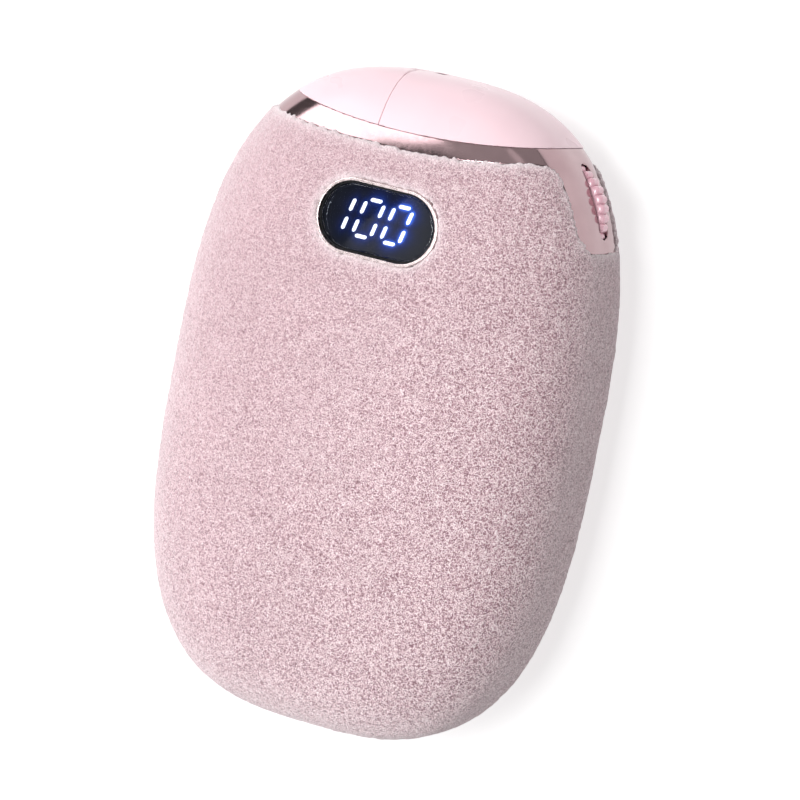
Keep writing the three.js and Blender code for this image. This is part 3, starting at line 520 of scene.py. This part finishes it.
def plain_material(name, dark, light, rough=(0.4, 0.5), metallic=0.0, size=1.2, bump=0.08, **more):
    m = Nodes(name)
    color = m.ramp(m.noise(size, 3.0, 0.6), (0.3, dark), (0.7, light))
    roughness = m.ramp(m.noise(size * 0.6, 3.0), (0.3, (rough[0],) * 3), (0.7, (rough[1],) * 3))
    return m.set(color=color, metallic=metallic, roughness=roughness,
                 normal=m.bump(m.noise(size * 0.4, 3.0), bump, 0.08), **more)


def digit_material():
    m = Nodes("lit_segment")
    glow = m.ramp(m.noise(0.5, 1.0), (0.3, (0.88, 0.93, 1.0)), (0.7, (0.96, 0.98, 1.0)))
    return m.set(color=(0.8, 0.8, 0.85, 1), roughness=0.5, emission=glow, glow=4.0)


LOOKS = {
    "velvet": velvet_material(),
    "pink_gloss": gloss_pink_material(),
    "rose_chrome": rose_chrome_material(),
    "rose_rim": rose_chrome_material("rose_rim_plate", (0.24, 0.3), (0.74, 0.62, 0.62), (0.80, 0.68, 0.68)),
    "smoked_glass": glass_material(),
    "pink_shell": plain_material("moulded_pink", (0.66, 0.42, 0.47), (0.72, 0.48, 0.53)),
    "black_plastic": plain_material("moulded_black", (0.012, 0.012, 0.014), (0.02, 0.02, 0.022)),
    "black_foam": plain_material("foam_black", (0.01, 0.01, 0.01), (0.03, 0.03, 0.03), (0.9, 1.0),
                                 size=0.5, bump=0.6),
    "board_green": plain_material("solder_mask", (0.008, 0.07, 0.03), (0.012, 0.10, 0.045), (0.25, 0.4)),
    "steel": plain_material("plated_steel", (0.55, 0.56, 0.57), (0.66, 0.67, 0.68), (0.22, 0.34), 1.0),
    "aluminium": plain_material("mill_aluminium", (0.62, 0.63, 0.65), (0.72, 0.73, 0.75), (0.3, 0.45), 1.0),
    "amber_film": plain_material("polyimide", (0.42, 0.16, 0.02), (0.55, 0.22, 0.03), (0.2, 0.3)),
    "grey_foam": plain_material("foam_grey", (0.2, 0.21, 0.22), (0.3, 0.31, 0.32), (0.9, 1.0),
                                size=0.8, bump=0.6),
    "cell_foil": plain_material("laminate_foil", (0.4, 0.43, 0.46), (0.5, 0.53, 0.56), (0.25, 0.4), 0.7,
                                size=3.0),
    "white_plastic": plain_material("moulded_white", (0.68, 0.66, 0.63), (0.76, 0.75, 0.72)),
    "red_lead": plain_material("silicone_red", (0.35, 0.01, 0.01), (0.45, 0.02, 0.02)),
    "black_lead": plain_material("silicone_black", (0.01, 0.01, 0.01), (0.02, 0.02, 0.02)),
}


# Camera at the photo's angle
YAW, PITCH, ROLL = (math.radians(a) for a in (23.648, 8.317, 11.162))
AIM_RIGHT, AIM_UP = 2.2777, 0.6417
DISTANCE = 800.0
back = Vector((math.sin(YAW) * math.cos(PITCH), math.sin(PITCH), math.cos(YAW) * math.cos(PITCH)))
right = Vector((math.cos(YAW), 0, -math.sin(YAW)))
up = back.cross(right)
aim = right * AIM_RIGHT + up * AIM_UP + Vector((0, 0, LIFT))
side = right * math.cos(ROLL) + up * math.sin(ROLL)
top = up * math.cos(ROLL) - right * math.sin(ROLL)
camera = bpy.data.objects.new("camera", bpy.data.cameras.new("camera"))
camera.data.lens = 228.2
camera.data.sensor_width = 36.0
camera.data.clip_start, camera.data.clip_end = 0.01, 20.0
turn = Matrix((side, top, back)).transposed().to_4x4()
camera.matrix_world = Matrix.Translation((aim + back * DISTANCE) * MM) @ turn
bpy.context.scene.collection.objects.link(camera)
bpy.context.scene.camera = camera


# Pieces
def cover_field(x, y, z):
    outer = envelope(x, y, z, 0.0)
    outer = less(outer, collar(x, y, z), VELVET_COLLAR_EDGE)
    outer = less(outer, display(x, y, z, VELVET_DISPLAY_GAP), VELVET_DISPLAY_EDGE)
    outer = both(outer, FLAT_Z - z, VELVET_BACK_EDGE)
    return less(outer, envelope(x, y, z, VELVET_THICK))


def ring_field(x, y, z):
    outer = envelope(x, y, z, RING_INSET)
    band = both(outer, collar(x, y, z), PANEL_EDGE)
    band = less(band, above_top(x, y), CAP_EDGE)
    band = less(band, envelope(x, y, z, RING_DEPTH))
    spigot = both(skin(x, y, z, SPIGOT_OUTER, SPIGOT_INNER), np.maximum(SPIGOT_LOW - y, y - SPIGOT_TOP))
    reach = both(above_low(x, y, GAP), np.maximum(LEDGE_LOW - y, y - SPIGOT_TOP))
    ledge = both(skin(x, y, z, LEDGE_OUTER, LEDGE_INNER), reach)
    ring = either(band, either(spigot, ledge))
    out, along = at_wheel(x, y)
    slot = both(stadium(along, z - WHEEL_Z, SLOT_HALF_LENGTH, SLOT_RADIUS), -out)
    ring = less(ring, slot, SLOT_EDGE)
    return less(ring, pocket(x, y, z))


def cap_field(x, y, z):
    full = envelope(x, y, z, CAP_INSET)
    full = both(full, above_top(x, y), CAP_EDGE)
    full = both(full, SEAM_RIGHT - x, SEAM_EDGE)
    keep = -envelope(x, y, z, CAP_INSET + CAP_WALL)
    keep = either(keep, x - SEAM_RIGHT - SEAM_WALL)
    keep = either(keep, block(x, y, z, *STRAP_BLOCK))
    for boss_x, boss_z in BOSSES:
        keep = either(keep, both(np.hypot(x - boss_x, z - boss_z) - BOSS_RADIUS, BOSS_LOW - y))
    cap = both(full, keep)
    for boss_x, boss_z in BOSSES:
        cap = less(cap, both(np.hypot(x - boss_x, z - boss_z) - PILOT_RADIUS, y - PILOT_TOP))
    bar = both(STRAP_BAR_LOW - y, np.maximum(STRAP_BAR_REAR - z, z - STRAP_BAR_FRONT), STRAP_EDGE)
    cap = less(cap, less(block(x, y, z, *STRAP_CHANNEL), bar), STRAP_EDGE)
    web_end = (SEAM_RIGHT + 2 * GAP, FAR, EAR_HALF)
    web = block(x, y, z, (HINGE[0], HINGE[1] - KNUCKLE, -EAR_HALF), web_end)
    # Room above the web for the port cover's skin as it swings past
    web = less(web, block(x, y, z, (*HINGE, -FAR), (HINGE[0] + SWEEP, FAR, FAR)))
    ear = either(hinge_peg(x, y, z, KNUCKLE, -EAR_HALF, EAR_HALF), web)
    ear = both(ear, envelope(x, y, z, CAP_INSET), EAR_EDGE)
    return less(either(cap, ear), hinge_peg(x, y, z, PIN_HOLE, -PIN_REACH, PIN_REACH))


def port_cover_field(x, y, z):
    full = envelope(x, y, z, CAP_INSET)
    full = both(full, above_top(x, y), CAP_EDGE)
    full = both(full, x - SEAM_LEFT, SEAM_EDGE)
    cover = less(full, envelope(x, y, z, CAP_INSET + CAP_WALL))
    heel = np.maximum(HINGE[0] - x, HINGE[1] - y)
    cover = less(cover, less(heel, hinge_peg(x, y, z, KNUCKLE, -FAR, FAR)))
    inner = EAR_HALF + EAR_GAP
    knuckles = np.minimum(hinge_peg(x, y, z, KNUCKLE, -PIN_REACH, -inner),
                          hinge_peg(x, y, z, KNUCKLE, inner, PIN_REACH))
    cover = either(cover, both(knuckles, full))
    way = block(x, y, z, (HINGE[0], HINGE[1] - KNUCKLE - EAR_GAP, -inner), (FAR, FAR, inner))
    cover = less(cover, either(hinge_peg(x, y, z, KNUCKLE + EAR_GAP, -inner, inner), way))
    return less(cover, hinge_peg(x, y, z, PIN_HOLE, -PIN_REACH, PIN_REACH))


def bezel_field(x, y, z):
    tube = both(envelope(x, y, z, -BEZEL_PROUD), display(x, y, z), BEZEL_EDGE)
    tube = less(tube, display(x, y, z, -BEZEL_WALL), BEZEL_INNER_EDGE)
    tube = less(tube, envelope(x, y, z, BEZEL_DEPTH))
    flange = both(skin(x, y, z, FLANGE_TOP, BEZEL_DEPTH), display(x, y, z, FLANGE_WIDTH))
    sill = both(skin(x, y, z, SILL_TOP, BEZEL_DEPTH), display(x, y, z, -SILL_INSET))
    return less(either(either(tube, flange), sill), display(x, y, z, -SILL_OPENING))


def liner_field(x, y, z):
    tube = both(envelope(x, y, z, LINER_TOP), display(x, y, z, -BEZEL_WALL), LINER_EDGE)
    return less(less(tube, display(x, y, z, -LINER_INNER)), envelope(x, y, z, LINER_LOW))


def window_field(x, y, z):
    pane = both(envelope(x, y, z, PANE_TOP), display(x, y, z, -PANE_INSET), PANE_EDGE)
    return less(pane, envelope(x, y, z, PANE_LOW))


def film_field(x, y, z):
    sheet = both(envelope(x, y, z, FILM_TOP), display(x, y, z, -LINER_INNER))
    return less(sheet, envelope(x, y, z, FILM_LOW))


def wheel_field(x, y, z):
    out, along = at_wheel(x, y)
    radius = np.hypot(out, along)
    turn = np.arctan2(along, out)
    bead = np.sqrt(np.abs(np.cos(WHEEL_RIBS * turn / 2)) + 1e-4)
    rim = WHEEL_RADIUS - RIB_DEPTH * (1 - bead)
    disc = both((radius - rim) / WHEEL_CROWN, np.abs(z - WHEEL_Z) - WHEEL_HALF, WHEEL_EDGE)
    return less(disc, radius - WHEEL_BORE)


def lit_bars(x, y):
    lit = None
    for spot, names in zip(DIGIT_SPOTS, (ONE, ZERO, ZERO)):
        v = y - DIGIT_Y
        u = x - spot - SLANT * v
        for name in names:
            centre_u, centre_v, upright = SEGMENTS[name]
            a, b = (v - centre_v, u - centre_u) if upright else (u - centre_u, v - centre_v)
            bar = rounded_box(a, b, (-BAR_HALF_LENGTH, -BAR_HALF_WIDTH), (BAR_HALF_LENGTH, BAR_HALF_WIDTH),
                              BAR_CORNER)
            bar = both(bar, (np.abs(a) + np.abs(b) - BAR_POINT) * DIAGONAL, BAR_POINT_EDGE)
            lit = bar if lit is None else np.minimum(lit, bar)
    return lit


def digits_field(x, y, z):
    return both(both(lit_bars(x, y), skin(x, y, z, LIT_TOP, LIT_LOW)), -z)


def add_attribute(obj, name, values):
    attribute = obj.data.attributes.new(name, "FLOAT", "POINT")
    attribute.data.foreach_set("value", np.asarray(values, np.float32))


def places(obj):
    return np.array([v.co[:] for v in obj.data.vertices]) / MM - [0, 0, LIFT]


def velvet_cover():
    points, faces = nets(cover_field, (-35.2, -53.1, -16.6), (35.2, 50.0, 17.0), 0.32)
    _, slope = gradient(cover_field, points, 0.2)
    slope /= np.maximum(np.linalg.norm(slope, axis=1), 1e-6)[:, None]
    x, y, z = points.T
    outside = np.clip(envelope(x, y, z, 1.0) / 0.5 + 0.5, 0, 1)
    edge = np.minimum(np.abs(collar(x, y, z)), np.abs(display(x, y, z, VELVET_DISPLAY_GAP)))
    # The fringe weight raises a ragged pile at the edges and also carries the painted sheen used by the
    # velvet material.
    fringe_and_painted_sheen = np.exp(-edge / FRINGE_REACH) * outside
    pile = 0.09 * lattice_noise(points, 0.5, 11) + 0.05 * lattice_noise(points, 2.6, 12)
    pile += fringe_and_painted_sheen * (0.38 * lattice_noise(points, 0.5, 13) + 0.24)
    points = points + (pile * outside)[:, None] * slope
    sleeve = mesh_object("velvet_sleeve", points, faces)
    add_attribute(sleeve, "fringe_and_painted_sheen", fringe_and_painted_sheen)
    return sleeve


sleeve = finish_piece(velvet_cover(), "case", "velvet", LOOKS["velvet"],
                      "velvet_cover")
finish_piece(formed("chrome_collar", ring_field, (-35.0, 29.8, -17.0), (35.0, 50.5, 17.0), 0.2),
             "case", "rose_chrome", LOOKS["rose_chrome"], "trim_ring")
dome = formed("dome_cap", cap_field, (-6.8, 43.2, -16.0), (31.0, 53.0, 16.0), 0.15)
spots = places(dome)
# Painted shade: in the strap channel the cap darkens with depth below the outer form, standing in for shadow
# in the hollow.
shade_depth_share = np.clip(-envelope(*spots.T, CAP_INSET) / SHADE_FADE_DEPTH, 0, 1)
in_shade_box = block(*spots.T, *STRAP_SHADE_BOX) < 0
add_attribute(dome, "channel_painted_shade", shade_depth_share * in_shade_box)
finish_piece(dome, "case", "pink_gloss", LOOKS["pink_gloss"], "cap_main")
finish_piece(formed("swing_cap", port_cover_field, (-27.0, 43.2, -16.0), (-4.2, 53.0, 16.0), 0.15),
             "port_cover", "pink_gloss", LOOKS["pink_gloss"], "port_cover")
finish_piece(formed("display_rim", bezel_field, (-12.6, 21.5, 10.5), (12.6, 37.6, 17.2), 0.1),
             "case", "rose_rim", LOOKS["rose_rim"], "display_bezel")
finish_piece(formed("display_glass", window_field, (-10.4, 23.6, 13.0), (9.8, 35.0, 16.6), 0.12),
             "case", "smoked_glass", LOOKS["smoked_glass"], "display_window")
finish_piece(formed("display_liner", liner_field, (-10.8, 23.2, 13.0), (10.2, 35.2, 16.6), 0.12),
             "case", "black_plastic", liner_material())
film = formed("display_film", film_field, (-10.4, 23.6, 13.0), (9.8, 35.0, 15.2), 0.14)
spots = places(film)
# Painted glow weight: falls off away from the lit bars and rises towards +x.
reach = np.exp(-np.maximum(lit_bars(spots[:, 0], spots[:, 1]), 0) / HALO_REACH)
add_attribute(film, "painted_digit_glow", reach * np.clip(HALO_MIDDLE + HALO_SLOPE * spots[:, 0], HALO_LEAST, 1.0))
finish_piece(film, "case", "black_plastic", film_material())
finish_piece(formed("ribbed_wheel", wheel_field, (12.4, 25.8, -2.8), (31.1, 44.6, 0.4), 0.1),
             "thumb_wheel", "pink_gloss", wheel_material(), "thumb_wheel")
finish_piece(formed("lit_digits", digits_field, (-8.2, 25.4, 13.0), (5.8, 33.0, 15.0), 0.07),
             "case", "white_plastic", digit_material())

for part in frame["record"]["subparts"]:
    node = frame["nodes"][part["node"]]
    node.data.materials.clear()
    node.data.materials.append(LOOKS[part["material_slot"]])


# Floor and light
def card(name, centre, size, material):
    mesh = bpy.data.meshes.new(name)
    w, h = size[0] / 2, size[1] / 2
    mesh.from_pydata([(-w, -h, 0), (w, -h, 0), (w, h, 0), (-w, h, 0)], [], [(0, 1, 2, 3)])
    obj = bpy.data.objects.new(name, mesh)
    obj.location = centre
    mesh.materials.append(material)
    bpy.context.scene.collection.objects.link(obj)
    return obj


floor_nodes = Nodes("pale_floor")
floor_tone = floor_nodes.ramp(floor_nodes.noise(400.0), (0.3, (0.44, 0.44, 0.44)), (0.7, (0.46, 0.46, 0.46)))
card("floor", (0, 0, 0), (6, 6), floor_nodes.set(color=floor_tone, roughness=0.7, specular=0.2,
                                                 emission=(1, 1, 1, 1), glow=0.64))


def lamp(name, spot, size, power, turned=None):
    light = bpy.data.lights.new(name, "AREA")
    light.shape = "RECTANGLE"
    light.size, light.size_y = size
    light.energy = power
    obj = bpy.data.objects.new(name, light)
    obj.location = spot
    if turned is None:
        obj.rotation_mode = "QUATERNION"
        obj.rotation_quaternion = (Vector(spot) - Vector((0, 0, 0.016))).to_track_quat("Z", "Y")
    else:
        obj.rotation_euler = (0, 0, math.radians(turned))
    bpy.context.scene.collection.objects.link(obj)


lamp("key", (-0.455, 0.31, 0.445), (0.42, 0.42), 1.9)
lamp("upper", (-0.163, 0.011, 0.92), (0.5, 0.6), 0.47, -18.4)
lamp("back_top", (0.05, 0.87, 0.92), (0.9, 0.8), 1.0, 0.0)
lamp("behind", (0.42, 1.0, 0.45), (0.5, 0.85), 0.5)
lamp("top", (0.0, 0.08, 0.75), (0.26, 0.26), 3.7)
lamp("left_front", (-0.5, -0.3, 0.4), (0.5, 0.5), 2.3)
lamp("front", (-0.1, -0.55, 0.4), (0.4, 0.4), 0.5)
lamp("right", (0.40, -0.07, 0.60), (0.2, 0.2), 0.3)

world = bpy.data.worlds.new("studio")
world.use_nodes = True
world.node_tree.nodes["Background"].inputs["Color"].default_value = (1, 1, 1, 1)
world.node_tree.nodes["Background"].inputs["Strength"].default_value = 0.12
bpy.context.scene.world = world
bpy.context.scene.view_settings.view_transform = "Standard"
